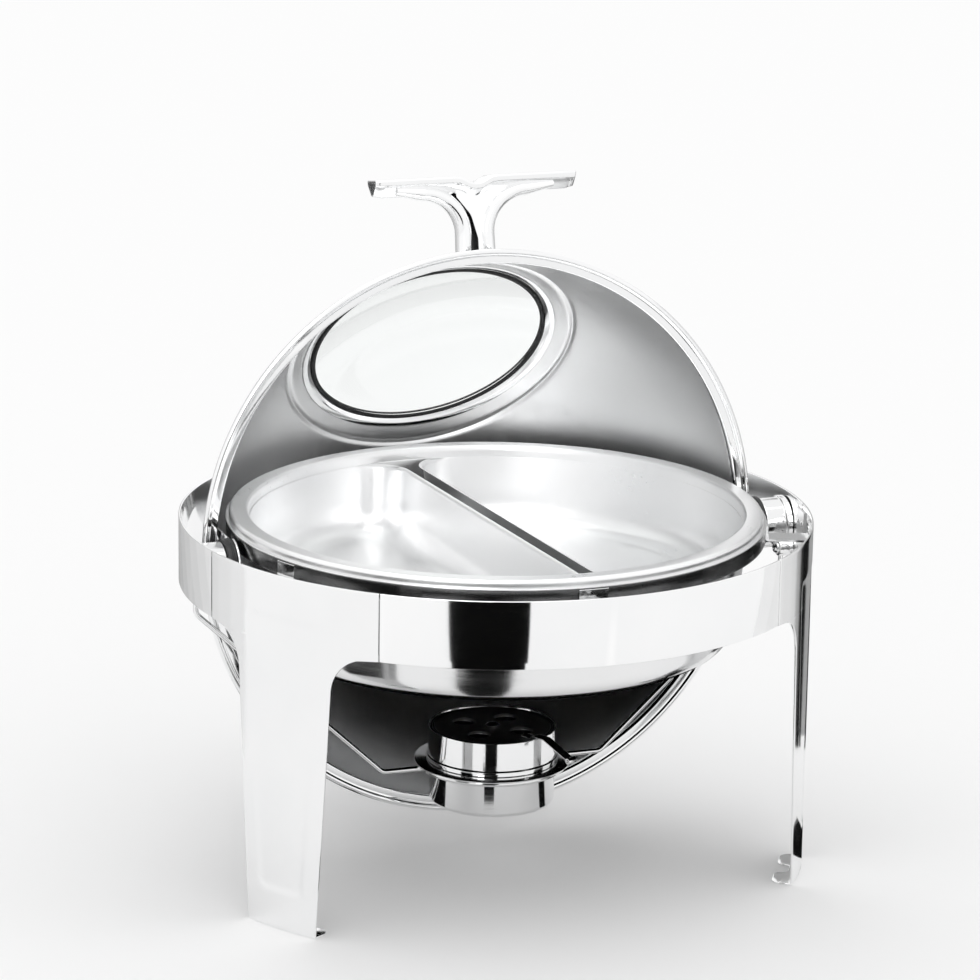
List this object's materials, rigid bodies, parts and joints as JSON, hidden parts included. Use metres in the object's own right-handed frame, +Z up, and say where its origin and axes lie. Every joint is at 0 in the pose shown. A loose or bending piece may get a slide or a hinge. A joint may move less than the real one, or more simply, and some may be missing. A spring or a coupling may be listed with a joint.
{
  "type": "roll top chafer",
  "caption": "Round roll top chafer with ring frame on legs, divided food pan over a water pan, fuel burner in a wire cradle, and a windowed dome lid that rolls down behind the pans.",
  "frame": {"origin": "on the floor, under the centre of the ring", "axes": "+Z up, -Y the front where the lid's handle comes down, X along the lid's pivot axis"},
  "size_m": [0.475, 0.475, 0.5115],
  "materials": {
    "polished_steel": "mirror-polished stainless steel",
    "satin_steel": "satin stainless steel",
    "friction_plastic": "black, semi-matt",
    "gasket_rubber": "black rubber",
    "window_glass": "clear curved glass",
    "fuel_gel": "wet gel"
  },
  "bodies": {
    "frame": {"band_front": "polished_steel", "band_left": "polished_steel", "band_right": "polished_steel", "leg_front_left": "polished_steel", "leg_front_right": "polished_steel", "leg_rear": "polished_steel", "joint_straps": "satin_steel", "joint_rivets": "polished_steel", "pan_hoop": "polished_steel", "hoop_bracket_front": "polished_steel", "hoop_brackets_side": "polished_steel", "bracket_rivets": "polished_steel", "hub_drum_left": "polished_steel", "hub_drum_right": "polished_steel", "hub_washer_left": "friction_plastic", "hub_washer_right": "friction_plastic", "pivot_pin_left": "polished_steel", "pivot_pin_right": "polished_steel", "hub_screws": "polished_steel", "fuel_cradle": "polished_steel"},
    "lid": {"lid_shell": "satin_steel", "lid_rim": "polished_steel", "lid_ear_left": "polished_steel", "lid_ear_right": "polished_steel", "ear_rivets": "polished_steel", "window_glass": "window_glass", "window_gasket": "gasket_rubber", "window_trim_outer": "polished_steel", "window_trim_inner": "polished_steel", "grip_bar": "polished_steel", "grip_feet": "polished_steel", "grip_screws": "polished_steel"},
    "water_pan": {"water_pan": "polished_steel"},
    "food_pan": {"food_pan": "satin_steel"},
    "burner": {"burner_cup": "polished_steel", "burner_cap": "polished_steel", "fuel_can": "satin_steel", "fuel_gel": "fuel_gel", "damper_pin": "polished_steel"},
    "damper": {"damper_disc": "satin_steel", "damper_handle": "polished_steel"}
  },
  "joints": [
    {"name": "lid_roll", "type": "hinge", "parent": "frame", "child": "lid", "pos_m": [0, 0, 0.241], "axis": [1, 0, 0], "range_deg": [0, 90]},
    {"name": "water_pan_lift", "type": "slide", "parent": "frame", "child": "water_pan", "axis": [0, 0, 1], "range_m": [0, 0.014]},
    {"name": "food_pan_lift", "type": "slide", "parent": "water_pan", "child": "food_pan", "axis": [0, 0, 1], "range_m": [0, 0.024]},
    {"name": "burner_lift", "type": "slide", "parent": "frame", "child": "burner", "axis": [0, 0, 1], "range_m": [0, 0.04]},
    {"name": "damper_turn", "type": "hinge", "parent": "burner", "child": "damper", "pos_m": [0, 0, 0.098], "axis": [0, 0, 1], "range_deg": [0, 45]}
  ]
}
